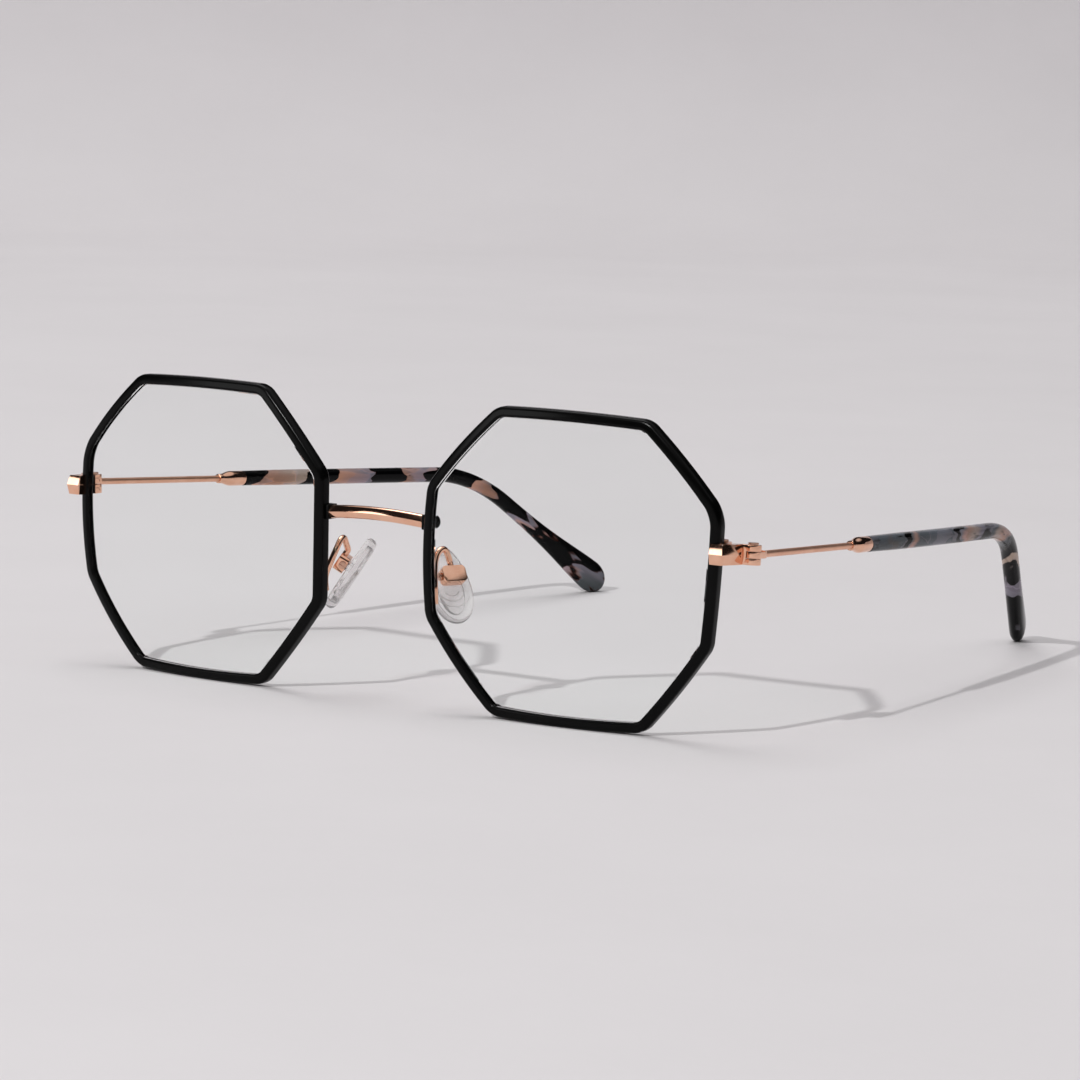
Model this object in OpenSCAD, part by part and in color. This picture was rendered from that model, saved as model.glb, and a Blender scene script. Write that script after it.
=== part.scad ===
// Octagonal metal eyeglasses, standing open on a table on their rims and temple tips.
// X runs across the front, Y runs back along the temples and Z is up. Left is the wearer's left, at +X.

/* [Eyewires] */
// Width of an eyewire on the centre line of its wire, from corner to corner
eye_w = 53.2; // [48:0.2:58]
// Height of an eyewire on the centre line of its wire, from corner to corner
eye_h = 49.6; // [44:0.2:54]
// How far each side bows out between its corners
side_bow = 0.3; // [0:0.05:0.5]
// Length of the flat along the top
top_flat = 27.6; // [22:0.2:32]
// Length of the flat along the bottom
bottom_flat = 27.8; // [22:0.2:32]
// How far both flats sit towards the nose
flat_shift = 0.2; // [0:0.1:1]
// How far the top flat falls towards the temple
top_fall = 0.35; // [0:0.05:0.8]
// Height of the upper corner on the temple side
temple_top = 11.2; // [9:0.2:13]
// Depth of the lower corner on the temple side
temple_bottom = 10.4; // [8:0.2:13]
// Height of the upper corner on the nose side
nose_top = 11.4; // [9:0.2:13]
// Depth of the lower corner on the nose side
nose_bottom = 10; // [9:0.2:13]
// How far the lower temple corner sits inside the upper one
side_taper = 1.4; // [0:0.1:2.4]
// Radius of the corners on the centre line of the wire
corner_r = 3; // [2.5:0.25:8]
// Radius of the upper temple corner, less where the end piece needs a straight side
temple_r = 6; // [3:0.25:10]
// Distance between the two eyewires at the nose, centre line to centre line
nose_gap = 23.2; // [18:0.2:26]
// Radius of the sphere that the lenses and eyewires lie on
base_r = 116.5; // [88:0.5:160]
// Angle by which each eyewire wraps back towards the temple
wrap = 4; // [1:0.5:7]
// Width of the wire, seen from the front
rim_w = 1.75; // [1.6:0.05:2.4]
// Depth of the wire, front to back
rim_d = 2.15; // [1.9:0.05:2.8]
// Radius along the edges of the wire
rim_edge = 0.5; // [0.2:0.05:0.6]
// Width of the saw cut that lets the eyewire open for the lens
saw_cut = 0.12; // [0.06:0.02:0.3]

/* [Lenses] */
// Thickness of a lens
lens_t = 1.6; // [1.2:0.1:1.8]
// Thickness of the tongue around the lens
tongue_t = 0.7; // [0.4:0.05:0.8]
// Depth of the lens groove in the wire
groove_depth = 0.55; // [0.3:0.05:0.6]
// Room between the lens and the wire
lens_gap = 0.08; // [0.05:0.01:0.12]

/* [Bridge] */
// Height of the bridge above the middle of the lenses
bridge_z = 5.3; // [2:0.1:8]
// Height of the bridge bar
bridge_h = 2.2; // [1.6:0.1:2.8]
// Depth of the bridge bar
bridge_d = 1.6; // [1.2:0.1:2.2]
// How far the bridge arches up
bridge_arch = 0.6; // [0.3:0.1:3]
// How far the bridge bows forward
bridge_bow = 0.8; // [0.3:0.1:3]
// How far the ends of the bridge sit behind the middle of the wire
bridge_inset = 0.6; // [0.3:0.1:0.9]
// Thickness of the saddle between the bridge and the wire
saddle_t = 0.7; // [0.4:0.05:1]

/* [End pieces] */
// Height of the end pieces above the middle of the lenses
end_z = 4.9; // [2:0.1:7]
// Height of an end piece
end_h = 3.3; // [2.8:0.1:4]
// How far an end piece stands before the eyewire
end_front = 1.5; // [0.8:0.1:2]
// How far the front corner of an end piece stands out from the centre line of the wire
end_out = 2.6; // [2.5:0.05:3.2]
// How far the ridge of an end piece rises over its edges
ridge = 0.35; // [0.1:0.05:0.4]
// Width of the closing block beside the wire
block_w = 1; // [0.8:0.05:1]
// Depth of the closing block behind the wire
block_d = 1.6; // [1.5:0.1:1.8]

/* [Hinges] */
// Distance of the hinge axis outside the centre line of the wire
hinge_out = 3.85; // [3.6:0.05:4.4]
// Distance of the hinge axis behind the front of the eyewire
hinge_back = 5.9; // [5.9:0.1:8]
// Radius of the hinge knuckles
knuckle_r = 1.35; // [1.2:0.05:1.4]
// Height of one knuckle
knuckle_h = 1.04; // [0.9:0.02:1.2]
// Radius of the hinge screw
screw_r = 0.5; // [0.4:0.05:0.6]
// Radial room around the hinge screw
pin_gap = 0.04; // [0.02:0.01:0.06]
// Room between two knuckles
knuckle_gap = 0.06; // [0.04:0.01:0.1]

/* [Temples] */
// Slope of the temples, down from square to the front
temple_slope = 4.1; // [0:0.1:8]
// Angle by which the temple wires run inwards
splay = 4.7; // [2:0.1:7]
// Diameter of the temple wire
wire_d = 1.12; // [0.9:0.02:1.2]
// Distance of the ferrule from the hinge axis
wire_len = 34.6; // [25:0.1:50]
// Length of the ferrule
ferrule_len = 6.5; // [4:0.1:9]
// Greatest diameter of the ferrule
ferrule_d = 2.7; // [2.4:0.05:3.2]
// Length of the tip along its middle
tip_len = 102; // [90:0.5:115]
// Distance from the ferrule to the bend over the ear
bend_at = 63.5; // [50:0.5:70]
// Angle of the bend over the ear
bend_angle = 34; // [20:0.5:45]
// Radius of the bend over the ear
bend_r = 32; // [24:1:40]
// Angle by which the straight part of the tip turns inwards
tip_drift = 3; // [0:0.1:5]
// Angle by which the bend turns inwards
tip_inward = 14; // [8:0.5:20]
// Thickness of the tip
tip_t = 3.1; // [2.8:0.05:3.6]
// Height of the straight part of the tip
tip_h = 2.85; // [2.6:0.05:3.6]
// Width of the paddle at the end of the tip
paddle_w = 6; // [4.4:0.1:7]
// Diameter of the core wire inside the tip
core_d = 1; // [0.8:0.05:1.05]
// Length of the core wire inside the tip
core_len = 84; // [60:1:88]

/* [Nose pads] */
// Length of a nose pad
pad_len = 14; // [12:0.2:16]
// Width of a nose pad
pad_w = 7.6; // [6.8:0.1:8.6]
// Thickness of a nose pad
pad_t = 2.1; // [1.8:0.05:2.4]
// Angle of the pads seen from the front
pad_frontal = 33; // [25:0.5:38]
// Angle of the pads seen from above
pad_splay = 28; // [20:0.5:35]
// Distance of the pads behind the eyewire
pad_back = 6.2; // [5.6:0.1:8]
// Depth of the pads below the middle of the lenses
pad_drop = 6; // [4:0.2:8]
// How far the pads stand towards the nose from the eyewire
pad_in = 1.2; // [0.4:0.1:2]
// Height of the pad screw above the middle of the pad
pad_screw_up = 0.8; // [0:0.1:1.5]
// Radius of the pad screw
pad_screw_r = 0.4; // [0.3:0.05:0.45]
// Length of the pad box
box_len = 4.2; // [3.8:0.1:5]
// Height of the pad box
box_h = 2.9; // [2.7:0.1:3.3]
// Wall of the pad box
box_wall = 0.35; // [0.25:0.05:0.45]
// Diameter of the pad arm wire
arm_d = 0.9; // [0.7:0.05:1.1]

/* [Hidden] */
$fn = 40;

// Gap left for solder, glue or a press fit between pieces that are fixed together
seat = 0.03;
// Reach of a cutting solid past what it cuts
past = 1;

function unit(v) = v / norm(v);
function mix(a, b, t) = a + (b - a) * t;
function smooth(t) = let (c = min(max(t, 0), 1)) c * c * (3 - 2 * c);
// A point turned about the Z axis, and about the X axis
function turn_z(p, a) = [p.x * cos(a) - p.y * sin(a), p.x * sin(a) + p.y * cos(a), p.z];
function turn_x(p, a) = [p.x, p.y * cos(a) - p.z * sin(a), p.y * sin(a) + p.z * cos(a)];

// Solid through a list of rings that all have the same number of points
module sweep(rings) {
    n = len(rings[0]);
    last = len(rings) - 1;
    sides = [for (i = [0:last - 1]) for (j = [0:n - 1])
        each let (a = i * n + j, b = i * n + (j + 1) % n) [[a, b, b + n], [a, b + n, a + n]]];
    caps = [[for (j = [n - 1:-1:0]) j], [for (j = [0:n - 1]) last * n + j]];
    polyhedron(points = [for (r = rings) each r], faces = concat(sides, caps), convexity = 6);
}

// Keeps the left piece, or mirrors it to the right
module side(left) {
    if (left) children();
    else mirror([1, 0, 0]) children();
}

// Outline of the left eyewire. u runs towards the temple, v up and q back from the front of the wire.

// Middle of the left eyewire
eye_x = nose_gap / 2 + eye_w / 2;
top_mid = -flat_shift / 2;
bottom_mid = -flat_shift * 1.3;
// Corners of the octagon, going round from the upper temple corner over the top to the nose
corners = [
    [eye_w / 2, temple_top],
    [top_mid + top_flat / 2, eye_h / 2 - top_fall],
    [top_mid - top_flat / 2, eye_h / 2],
    [-eye_w / 2, nose_top],
    [-eye_w / 2, -nose_bottom],
    [bottom_mid - bottom_flat / 2, -eye_h / 2],
    [bottom_mid + bottom_flat / 2, -eye_h / 2],
    [eye_w / 2 - side_taper, -temple_bottom],
];
corner_steps = 5;
side_steps = 4;

// Place on the front: the flat outline laid on the base sphere and wrapped back
function on_base(u, v, q) =
    let (sag = base_r - sqrt(base_r * base_r - u * u - v * v) + q)
    [eye_x + u * cos(wrap) - sag * sin(wrap), u * sin(wrap) + sag * cos(wrap), v];

// Radius of corner number i, which turns by an angle
function radius_at(i, turn) = i > 0 ? corner_r
    : max(min(temple_r, (temple_top - end_z - end_h / 2) / tan(turn / 2)), rim_w);

// Rounded corner number i, as a list of [u, v, outward u, outward v]
function corner_arc(i) =
    let (n = len(corners), here = corners[i])
    let (d1 = unit(here - corners[(i + n - 1) % n]), d2 = unit(corners[(i + 1) % n] - here))
    let (turn = atan2(d1.x * d2.y - d1.y * d2.x, d1 * d2), out = [d1.y, -d1.x])
    let (r = radius_at(i, turn), mid = here - d1 * r * tan(turn / 2) - out * r, from = atan2(out.y, out.x))
    [for (k = [0:corner_steps]) let (t = from + turn * k / corner_steps, n = [cos(t), sin(t)])
        concat(mid + r * n, n)];

arcs = [for (i = [0:7]) corner_arc(i)];
// Place on the bowed side after corner number i, at a share t of its length
function side_place(i, t) =
    let (a = arcs[i][corner_steps], b = arcs[(i + 1) % 8][0], out = [a[2], a[3]])
    let (along = [b[0] - a[0], b[1] - a[1]], n = unit(out - 4 * side_bow * (1 - 2 * t) / (along * along) * along))
    concat([a[0], a[1]] + t * along + 4 * side_bow * t * (1 - t) * out, n);
// Places on a side between two shares of its length, without these two
function stretch(i, from, to, steps) = [for (k = [1:steps - 1]) side_place(i, mix(from, to, k / steps))];
outline = [for (i = [0:7]) each concat(arcs[i], stretch(i, 0, 1, side_steps))];

// Share of the temple side, which is number 7, at height v
lower_v = arcs[7][corner_steps][1];
upper_v = arcs[0][0][1];
function temple_share(v) = (v - lower_v) / (upper_v - lower_v);
cut_upper = temple_share(end_z + saw_cut / 2);
cut_lower = temple_share(end_z - saw_cut / 2);
end_station = side_place(7, temple_share(end_z));

// The bridge saddle meets the nose side, which is number 3, below the middle of the bridge
saddle_over = 0.15;
saddle_half = bridge_h / 2 + saddle_over;
nose_share = (arcs[3][corner_steps][1] - bridge_z + saddle_half) / (arcs[3][corner_steps][1] - arcs[4][0][1]);
nose_u = side_place(3, nose_share)[0];
nose_station = [nose_u, bridge_z, -1, 0];
nose_front = on_base(nose_u, bridge_z, 0).y;

// Whole outline of the eyewire, from one side of the saw cut round to the other
rim_path = concat(
    [side_place(7, cut_upper)], stretch(7, cut_upper, 1, 2),
    [for (i = [0:6]) each concat(arcs[i], stretch(i, 0, 1, side_steps))],
    arcs[7], stretch(7, 0, cut_lower, 3), [side_place(7, cut_lower)]
);

// Section of the wire: rounded outside, with the lens groove in its inner side
groove_q = rim_d / 2;
groove_half = tongue_t / 2 + lens_gap;
edge_steps = 2;
function edge(p, q, from) = [for (k = [0:edge_steps]) let (t = from - 90 * k / edge_steps)
    [p + rim_edge * cos(t), q + rim_edge * sin(t)]];
rim_section = concat(
    edge(rim_w / 2 - rim_edge, rim_d - rim_edge, 90),
    edge(rim_w / 2 - rim_edge, rim_edge, 0),
    edge(rim_edge - rim_w / 2, rim_edge, -90),
    [
        [-rim_w / 2, groove_q - groove_half],
        [groove_depth - rim_w / 2, groove_q - groove_half],
        [groove_depth - rim_w / 2, groove_q + groove_half],
        [-rim_w / 2, groove_q + groove_half],
    ],
    edge(rim_edge - rim_w / 2, rim_d - rim_edge, 180)
);
rim_rings = [for (s = rim_path)
    [for (p = rim_section) on_base(s[0] + s[2] * p[0], s[1] + s[3] * p[0], p[1])]];

// Frame of a place on the outline: X points outwards, Y back, Z along the wire
module at_rim(s) {
    translate(on_base(s[0], s[1], 0)) rotate([0, 0, wrap]) rotate([0, -atan2(s[3], s[2]), 0]) children();
}

// How far the wire leans back over its own width at the sides
lean = rim_w / 2 * (eye_w / 2) / base_r;
rim_back = rim_d + lean + seat;

// Hinge axis on the front, and its frame: Z is the axis, Y runs back along the temple
end_point = on_base(end_station[0], end_station[1], 0);
hinge_point = end_point + [hinge_out, hinge_back, -hinge_back * tan(temple_slope)];
module at_hinge() translate(hinge_point) rotate([-temple_slope, 0, 0]) children();

// Frame of the temple wire: Y runs back along it
wire_out = 0.8;
wire_rise = 0.1;
module at_wire() at_hinge() translate([wire_out, 0, wire_rise]) rotate([0, 0, splay]) children();
function wire_to_front(p) =
    hinge_point + turn_x(turn_z(p, splay) + [wire_out, 0, wire_rise], -temple_slope);

// Middle line of the tip: its heading turns slowly inwards, then down and inwards over the ear
bend_half = bend_r * tan(bend_angle / 2);
bend_start = bend_at - bend_half;
bend_end = bend_start + bend_r * bend_angle * PI / 180;
function bend_share(s) = min(max((s - bend_start) / (bend_end - bend_start), 0), 1);
function inward(s) = tip_drift * min(s / bend_start, 1) + tip_inward * bend_share(s);
function downward(s) = bend_angle * bend_share(s);
function heading(s) = let (a = inward(s), d = downward(s)) [-sin(a) * cos(d), cos(a) * cos(d), -sin(d)];

tip_cap = 4;
tip_steps = 34;
cap_steps = 5;
tip_body = tip_len - tip_cap;
tip_s = concat(
    [for (i = [0:tip_steps]) tip_body * i / tip_steps],
    [for (i = [1:cap_steps]) tip_body + tip_cap * sin(82 * i / cap_steps)]
);
// Points of a line that follows the heading through the places in list s
function follow(s, start) = [for (i = 0, p = start; i < len(s);
    p = i + 1 < len(s) ? p + (s[i + 1] - s[i]) * heading((s[i] + s[i + 1]) / 2) : p, i = i + 1) p];
tip_start = [0, wire_len + ferrule_len + seat, 0];
tip_line = follow(tip_s, tip_start);
// Half thickness and half height of the tip at a place along it
function cap_share(s) = s < tip_body ? 1 : sqrt(1 - pow((s - tip_body) / tip_cap, 2));
// The root of the tip is as wide as the ferrule and grows over root_len, and its leg widens to the paddle
root_len = 12;
function leg_share(s) = min(max((s - bend_end) / (tip_body - bend_end), 0), 1);
function tip_half_t(s) = mix(ferrule_d, tip_t, smooth(s / root_len)) / 2 * cap_share(s);
function tip_half_h(s) = cap_share(s) / 2 *
    mix(mix(ferrule_d, tip_h, smooth(s / root_len)), paddle_w, smooth(leg_share(s)) * leg_share(s));
tip_sides = 14;
squareness = 0.9;
function bulge(c, e) = sign(c) * pow(abs(c), e);
// Ring of points round the middle line at point p, heading along d
function ring(p, d, half_t, half_h, sides, e = 1) =
    let (across = unit(cross(d, [0, 0, 1])), up = cross(across, d))
    [for (k = [0:sides - 1]) let (t = 360 * k / sides)
        p + across * half_t * bulge(cos(t), e) + up * half_h * bulge(sin(t), e)];
tip_rings = [for (i = [0:len(tip_s) - 1]) let (s = tip_s[i])
    ring(tip_line[i], heading(s), tip_half_t(s), tip_half_h(s), tip_sides, squareness)];

// Standing on the table: the front leans until the rims and the tips both touch
rim_points = [for (r = rim_rings) each r];
tip_points = [for (r = tip_rings) for (p = r) wire_to_front(p)];
function height_at(p, a) = p.z * cos(a) + p.y * sin(a);
function lowest(points, a) =
    let (h = [for (p = points) height_at(p, a)], low = min(h)) points[search(low, h)[0]];
function lean_for(a, tries) =
    let (r = lowest(rim_points, a), t = lowest(tip_points, a), b = atan2(r.z - t.z, t.y - r.y))
    tries == 0 ? b : lean_for(b, tries - 1);
front_lean = lean_for(0, 3);
lift = -height_at(lowest(rim_points, front_lean), front_lean);
lens_front = groove_q - lens_t / 2;
front_y = (base_r + lens_front) * cos(wrap) * cos(front_lean) - base_r;
rear_y = max([for (p = tip_points) p.y * cos(front_lean) - p.z * sin(front_lean)]);
module stand() translate([0, -(front_y + rear_y) / 2, lift]) rotate([front_lean, 0, 0]) children();

// Frame of a nose pad: Z runs up along it, Y back across it and X away from the nose
pad_root = on_base(-eye_w / 2, -pad_drop, rim_d);
pad_point = pad_root + [-pad_in, pad_back, 0];
module at_pad() translate(pad_point) rotate([0, -pad_frontal, -pad_splay]) children();
function pad_to_front(p) =
    let (c = cos(pad_frontal), s = sin(pad_frontal))
    pad_point + turn_z([p.x * c - p.z * s, p.y, p.x * s + p.z * c], -pad_splay);

// Eyewire: swept wire, sawn through at the closing block
module rim() {
    color("#141414") sweep(rim_rings);
}

// Lens: a shell of the base sphere with a tongue that sits in the groove
module shell(front_q, t) {
    difference() {
        translate([0, base_r + front_q, 0]) sphere(base_r, $fn = 360);
        translate([0, base_r + front_q + t, 0]) sphere(base_r, $fn = 360);
    }
}

// Depth of the cutter that the lens outline is taken with
blank_depth = 40;
module lens_blank(front_q, t, inset) {
    intersection() {
        shell(front_q, t);
        rotate([90, 0, 0]) linear_extrude(height = blank_depth, center = true)
            polygon([for (s = outline) [s[0] - s[2] * inset, s[1] - s[3] * inset]]);
    }
}

module lens() {
    color([0.9, 0.95, 0.95, 0.35]) translate([eye_x, 0, 0]) rotate([0, 0, wrap]) {
        lens_blank(lens_front, lens_t, rim_w / 2 + lens_gap);
        lens_blank(groove_q - tongue_t / 2, tongue_t, rim_w / 2 - groove_depth + lens_gap);
    }
}

// Bridge: a ridged bar swept along an arc between the two saddles
saddle_out = rim_w / 2 + seat + saddle_t;
bridge_y = nose_front + rim_d / 2 + bridge_inset;
bridge_span = 2 * on_base(nose_u - saddle_out, bridge_z, 0).x;
bridge_reach = norm([bridge_bow, bridge_arch]);
bridge_r = (pow(bridge_span / 2, 2) + pow(bridge_reach, 2)) / (2 * bridge_reach);
bridge_over = 2;
bridge_half = asin(bridge_span / 2 / bridge_r) + bridge_over;
bridge_tilt = atan2(bridge_arch, bridge_bow);
bridge_bevel = 0.3;

module bridge_section() {
    polygon([
        [bridge_d / 2, 0],
        [bridge_d / 4, bridge_h / 2 - bridge_bevel / 2],
        [bridge_d / 4 - bridge_bevel, bridge_h / 2],
        [bridge_bevel - bridge_d / 2, bridge_h / 2],
        [-bridge_d / 2, bridge_h / 2 - bridge_bevel],
        [-bridge_d / 2, bridge_bevel - bridge_h / 2],
        [bridge_bevel - bridge_d / 2, -bridge_h / 2],
        [bridge_d / 4 - bridge_bevel, -bridge_h / 2],
        [bridge_d / 4, bridge_bevel / 2 - bridge_h / 2],
    ]);
}

module bridge() {
    mid = [0, bridge_y - bridge_bow, bridge_z + bridge_arch];
    reach = 8;
    color("#d9a48a") difference() {
        translate(mid + bridge_r * [0, cos(bridge_tilt), -sin(bridge_tilt)])
            rotate([-bridge_tilt, 0, 0]) rotate([0, 0, -90 - bridge_half])
                rotate_extrude(angle = 2 * bridge_half, $fn = 360)
                    translate([bridge_r, 0]) rotate(-bridge_tilt) bridge_section();
        for (left = [true, false]) side(left) at_rim(nose_station)
            translate([saddle_out + seat - reach, -reach, -reach]) cube([reach, 2 * reach, 2 * reach]);
    }
}

// Bridge saddle: the block that carries the bridge, on the nose side of the wire and rounded behind it
saddle_back = 0.9;
// Share of the wire's depth that shows before the saddle
saddle_share = 0.42;
saddle_front = rim_d * saddle_share;

module bridge_saddle() {
    round_x = saddle_out - saddle_half;
    color("#141414") at_rim(nose_station) {
        translate([rim_w / 2 + seat, saddle_front, -saddle_half])
            cube([saddle_t, rim_back + saddle_back - saddle_front, 2 * saddle_half]);
        translate([round_x, rim_back, 0]) rotate([-90, 0, 0]) cylinder(r = saddle_half, h = saddle_back);
        translate([round_x, rim_back, -saddle_half])
            cube([saddle_half, saddle_back, 2 * saddle_half]);
    }
}

// Closing block: two halves beside and behind the wire, drawn together by a screw
block_out = rim_w / 2 + seat + block_w;
block_in = 0.7;
block_side = 1.25;
block_half = end_h / 2;
close_r = 0.45;
close_at = [(block_side - block_in) / 2, rim_back + block_d / 2, 0];

module closing_half(bore_gap) {
    difference() {
        union() {
            translate([rim_w / 2 + seat, rim_edge, saw_cut / 2])
                cube([block_w, rim_back - rim_edge, block_half - saw_cut / 2]);
            translate([-block_in, rim_back, saw_cut / 2])
                cube([block_in + block_side, block_d, block_half - saw_cut / 2]);
            translate([rim_w / 2 + seat, rim_back - rim_edge, saw_cut / 2])
                cube([block_side - rim_w / 2 - seat, 2 * rim_edge, block_half - saw_cut / 2]);
        }
        translate(close_at) translate([0, 0, -past]) cylinder(r = close_r + bore_gap, h = block_half + 2 * past);
    }
}

module closing_block_upper() {
    color("#d9a48a") at_rim(end_station) closing_half(pin_gap);
}

module closing_block_lower() {
    color("#d9a48a") at_rim(end_station) mirror([0, 0, 1]) closing_half(seat);
}

// A slotted screw along Z from the underside of its head, with its head above
head_h = 0.3;
// Width of the slot as a share of the head's radius
slot_share = 0.3;
closing_head_r = 0.72;
hinge_head_r = 0.85;
pad_head_r = 0.65;
module slotted_screw(r, length, head_r) {
    difference() {
        union() {
            translate([0, 0, -length]) cylinder(r = r, h = length + head_h / 2);
            cylinder(r = head_r, h = head_h);
        }
        translate([-head_r - past, -head_r * slot_share / 2, head_h / 2])
            cube([2 * head_r + 2 * past, head_r * slot_share, head_h]);
    }
}

module closing_screw() {
    color("#b8b4b0") at_rim(end_station) translate(close_at + [0, 0, block_half + seat])
        slotted_screw(close_r, 2 * block_half, closing_head_r);
}

// End piece: an L-shaped bar with a ridge round its outer faces, soldered over the closing block
end_at = turn_x(end_point - hinge_point, temple_slope);
end_flare = 6;
end_hip = 0.95;
end_inner = 0.1;
// Room before the wire, which comes forward a little below the end piece
end_room = 0.1;
hinge_room = 0.25;
end_face = end_at.y - end_front;
end_rear = -knuckle_r - hinge_room;
end_corner = end_at.x + end_out;
// Place of the outer ridge at a distance y along the temple
function ridge_x(y) = end_corner + (y - end_face) * tan(end_flare);
ridge_half = [[-ridge, -end_h / 2], [0, 0], [-ridge, end_h / 2]];
end_in = end_at.x + block_side + seat;

module end_piece() {
    reach = 9;
    color("#d9a48a") difference() {
        at_hinge() intersection() {
            translate([end_corner, end_face, 0]) rotate([90, 0, -end_flare])
                linear_extrude(height = 2 * reach, center = true)
                    polygon(concat([[-reach, -end_h / 2]], ridge_half, [[-reach, end_h / 2]]));
            translate([end_corner, end_face, 0]) rotate([90, 0, -90])
                linear_extrude(height = 2 * reach, center = true)
                    polygon(concat([[-reach, -end_h / 2]], ridge_half, [[-reach, end_h / 2]]));
            linear_extrude(height = end_h + 2, center = true) polygon([
                [end_at.x + end_inner, end_face - past],
                [ridge_x(end_face) + ridge, end_face - past],
                [ridge_x(end_rear - end_hip) + ridge, end_rear - 2 * end_hip],
                [ridge_x(end_rear) - ridge, end_rear],
                [end_in, end_rear],
                [end_in, end_at.y + rim_back],
                [end_at.x + end_inner, end_at.y + rim_back],
            ]);
        }
        at_rim(end_station) translate([-reach, -end_room, -reach])
            cube([reach + block_out + seat, end_room + rim_back + seat, 2 * reach]);
        at_rim(end_station) translate([-reach, 0, -reach])
            cube([reach + block_side + seat, rim_back + block_d + seat, 2 * reach]);
    }
}

// Front half of the hinge: two knuckles left by a slot, on a plate soldered behind the end piece
slot_half = knuckle_h / 2 + knuckle_gap;
slot_room = 0.1;
hinge_half = slot_half + knuckle_h;
neck_y = end_rear + seat;
plate_y = -0.75;
// Share of the knuckle radius to which a neck reaches, so that it ends inside the barrel
neck_in = 0.97;

module front_hinge() {
    color("#d9a48a") at_hinge() difference() {
        translate([0, 0, -hinge_half]) {
            cylinder(r = knuckle_r, h = 2 * hinge_half);
            linear_extrude(height = 2 * hinge_half) polygon([
                [end_in, neck_y],
                [ridge_x(end_rear) - ridge, neck_y],
                [knuckle_r * neck_in * cos(45), -knuckle_r * neck_in * sin(45)],
                [0, 0],
                [-knuckle_r * neck_in, 0],
                [end_in, plate_y],
            ]);
        }
        translate([0, 0, -slot_half]) cylinder(r = knuckle_r + slot_room, h = 2 * slot_half);
        translate([0, 0, -hinge_half - past]) cylinder(r = screw_r + pin_gap, h = 2 * hinge_half + 2 * past);
    }
}

// Temple half of the hinge: the middle knuckle, with a block that the wire is soldered to
block_start = knuckle_r + 0.2;
block_end = block_start + 0.6;
wire_block = wire_d / 2 + 0.06;
tongue_in = 0.25;

module temple_hinge() {
    color("#d9a48a") difference() {
        union() {
            at_hinge() translate([0, 0, -knuckle_h / 2]) {
                cylinder(r = knuckle_r, h = knuckle_h);
                linear_extrude(height = knuckle_h) polygon([
                    [wire_out - wire_block, 0],
                    [knuckle_r * neck_in, 0],
                    [knuckle_r * neck_in, block_start + tongue_in],
                    [wire_out - wire_block, block_start + tongue_in],
                ]);
            }
            at_wire() translate([-wire_block, block_start, -knuckle_h / 2 - wire_rise])
                cube([2 * wire_block, block_end - block_start, knuckle_h / 2 + wire_rise + wire_block]);
        }
        at_hinge() translate([0, 0, -knuckle_h]) cylinder(r = screw_r + pin_gap, h = 2 * knuckle_h);
    }
}

// Hinge screw: the pin that the temple turns on
module hinge_screw() {
    color("#c8a08c") at_hinge() translate([0, 0, hinge_half + seat])
        slotted_screw(screw_r, 2 * hinge_half, hinge_head_r);
}

// Temple wire: straight to the ferrule, then drawn down to the core inside the tip
core_steps = 24;
core_s = [for (i = [0:core_steps]) core_len * i / core_steps];
core_sides = 8;
// Rings of radius r through the places in a list, and one before the tip starts
function core_rings(places, r) = let (line = follow(places, tip_start)) concat(
    [ring(tip_start - [0, past, 0], heading(0), r, r, core_sides)],
    [for (i = [0:len(places) - 1]) ring(line[i], heading(places[i]), r, r, core_sides)]
);

module temple_wire() {
    wire_end = wire_len + ferrule_len;
    color("#d9a48a") at_wire() {
        translate([0, block_end + seat, 0]) rotate([-90, 0, 0])
            cylinder(d = wire_d, h = wire_end - block_end - seat);
        sweep(core_rings(core_s, core_d / 2));
    }
}

// Ferrule: a turned cap on the wire that the tip butts against
module ferrule() {
    collar = 0.85;
    collar_len = 0.6;
    bevel = 0.1;
    full = 0.75 * ferrule_len;
    nose = 0.35;
    r = ferrule_d / 2;
    color("#d9a48a") at_wire() translate([0, wire_len, 0]) rotate([-90, 0, 0])
        rotate_extrude() polygon([
            [wire_d / 2 + seat, 0],
            [collar - bevel, 0],
            [collar, bevel],
            [collar, collar_len],
            for (k = [0:6]) [mix(collar, r, smooth(k / 6)), mix(collar_len, full, k / 6)],
            for (k = [1:3]) let (t = 30 * k) [r - nose * (1 - cos(t)), ferrule_len - nose + nose * sin(t)],
            [wire_d / 2 + seat, ferrule_len],
        ]);
}

// Temple tip: shaped acetate pushed over the core wire
module temple_tip() {
    color("#3a3a44") at_wire() difference() {
        sweep(tip_rings);
        sweep(core_rings(concat(core_s, [core_len + past]), core_d / 2 + seat));
    }
}

// Outline of a nose pad in the pad frame, as [across, up], drawn in by an inset
pad_taper = 0.16;
function pad_outline(inset, steps) = [for (k = [0:steps - 1]) let (t = -360 * k / steps)
    [(pad_w / 2 - inset) * cos(t) * (1 - pad_taper * sin(t)), (pad_len / 2 - inset) * sin(t)]];

// Insert: the hard core of the pad, a plate with a boss that the screw passes through
boss_r = 0.8;
boss_room = 0.1;
axis_x = pad_t / 2 + boss_r + boss_room;
boss_half = box_len / 2 - box_wall - boss_room;
insert_t = 0.7;
insert_inset = 1.5;
stem_half = 0.55;

module insert_body(room) {
    rotate([90, 0, 90]) linear_extrude(height = insert_t + 2 * room, center = true)
        polygon(pad_outline(insert_inset - room, 28));
    translate([0, -boss_half - room, pad_screw_up - stem_half - room])
        cube([axis_x, 2 * boss_half + 2 * room, 2 * stem_half + 2 * room]);
}

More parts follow.
